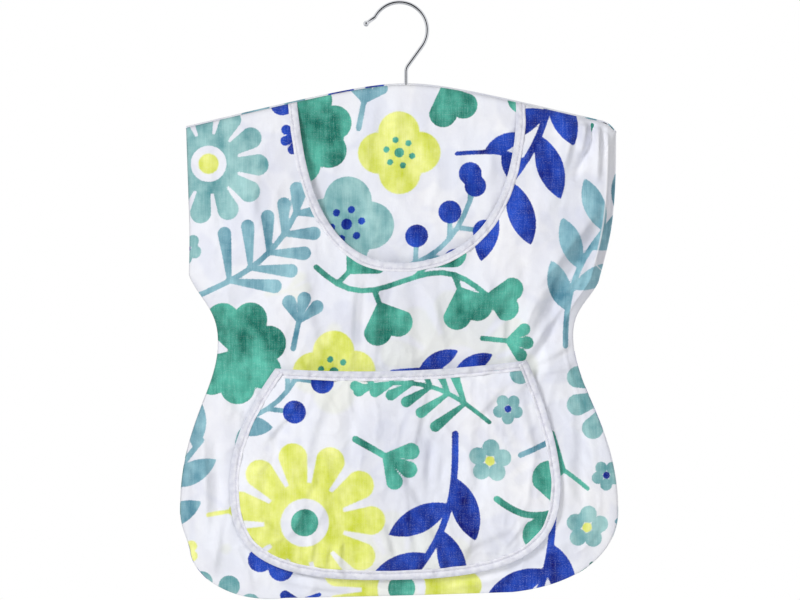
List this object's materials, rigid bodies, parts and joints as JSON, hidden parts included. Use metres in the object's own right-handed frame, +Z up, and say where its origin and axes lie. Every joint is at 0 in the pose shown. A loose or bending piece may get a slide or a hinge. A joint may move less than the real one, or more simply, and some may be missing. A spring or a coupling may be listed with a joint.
{
  "type": "peg bag",
  "caption": "Hanging peg bag shaped like a little dress: printed cotton bag over a wooden hanger, scooped neck to reach in by, bound patch pocket, swivelling wire hook.",
  "frame": {"origin": "inside of the hook's top, where it rests on a line or rail", "axes": "+Z up, -Y out of the front of the bag, +X to the right seen from the front"},
  "size_m": [0.35, 0.0306, 0.4789],
  "materials": {
    "chrome": "bright",
    "steel": "plain",
    "beech": "smooth",
    "printed_cotton": "plain weave, printed",
    "white_tape": "plain weave"
  },
  "bodies": {
    "hook": {"hook": "chrome"},
    "bag": {"hook_washer": "steel", "hanger_bar": "beech", "back_outer_panel": "printed_cotton", "back_inner_panel": "printed_cotton", "front_panel": "printed_cotton", "neck_binding": "white_tape", "pocket_panel": "printed_cotton", "pocket_mouth_binding": "white_tape", "pocket_edge_binding": "white_tape"}
  },
  "joints": [
    {"name": "hook_swivel", "type": "hinge", "parent": "hook", "child": "bag", "pos_m": [0.0044, 0, -0.07], "axis": [0, 0, 1], "continuous": true}
  ]
}
